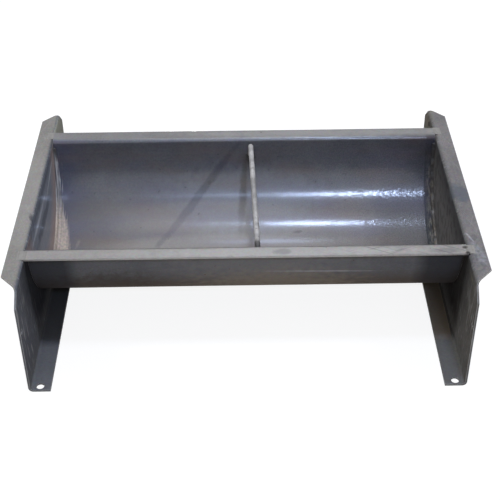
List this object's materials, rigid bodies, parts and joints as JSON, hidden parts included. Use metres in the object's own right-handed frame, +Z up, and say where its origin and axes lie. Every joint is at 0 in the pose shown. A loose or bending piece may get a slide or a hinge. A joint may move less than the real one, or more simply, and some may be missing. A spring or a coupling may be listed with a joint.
{
  "type": "hog trough",
  "caption": "Low hog trough in bare sheet steel: a half-round pan with folded rims welded between bent end plates that serve as bolt-down legs, divided across the middle by a bent rod.",
  "frame": {"origin": "on the floor, under the middle of the trough", "axes": "+X along the trough, +Y to the rear, +Z up"},
  "size_m": [0.659, 0.492, 0.1737],
  "materials": {
    "pan_sheet": "bare hot-rolled sheet, glossy mill scale",
    "end_plate_sheet": "bare hot-rolled sheet, satin mill scale with scuffs",
    "rod": "bare round bar, dull",
    "weld_metal": "as welded, rim runs ground nearly flush"
  },
  "bodies": {
    "root": {"trough_pan": "pan_sheet", "left_end_plate": "end_plate_sheet", "right_end_plate": "end_plate_sheet", "divider_rod": "rod", "left_seam_weld": "weld_metal", "right_seam_weld": "weld_metal", "front_left_rim_weld": "weld_metal", "front_right_rim_weld": "weld_metal", "rear_left_rim_weld": "weld_metal", "rear_right_rim_weld": "weld_metal", "front_divider_weld": "weld_metal", "rear_divider_weld": "weld_metal"}
  },
  "joints": []
}
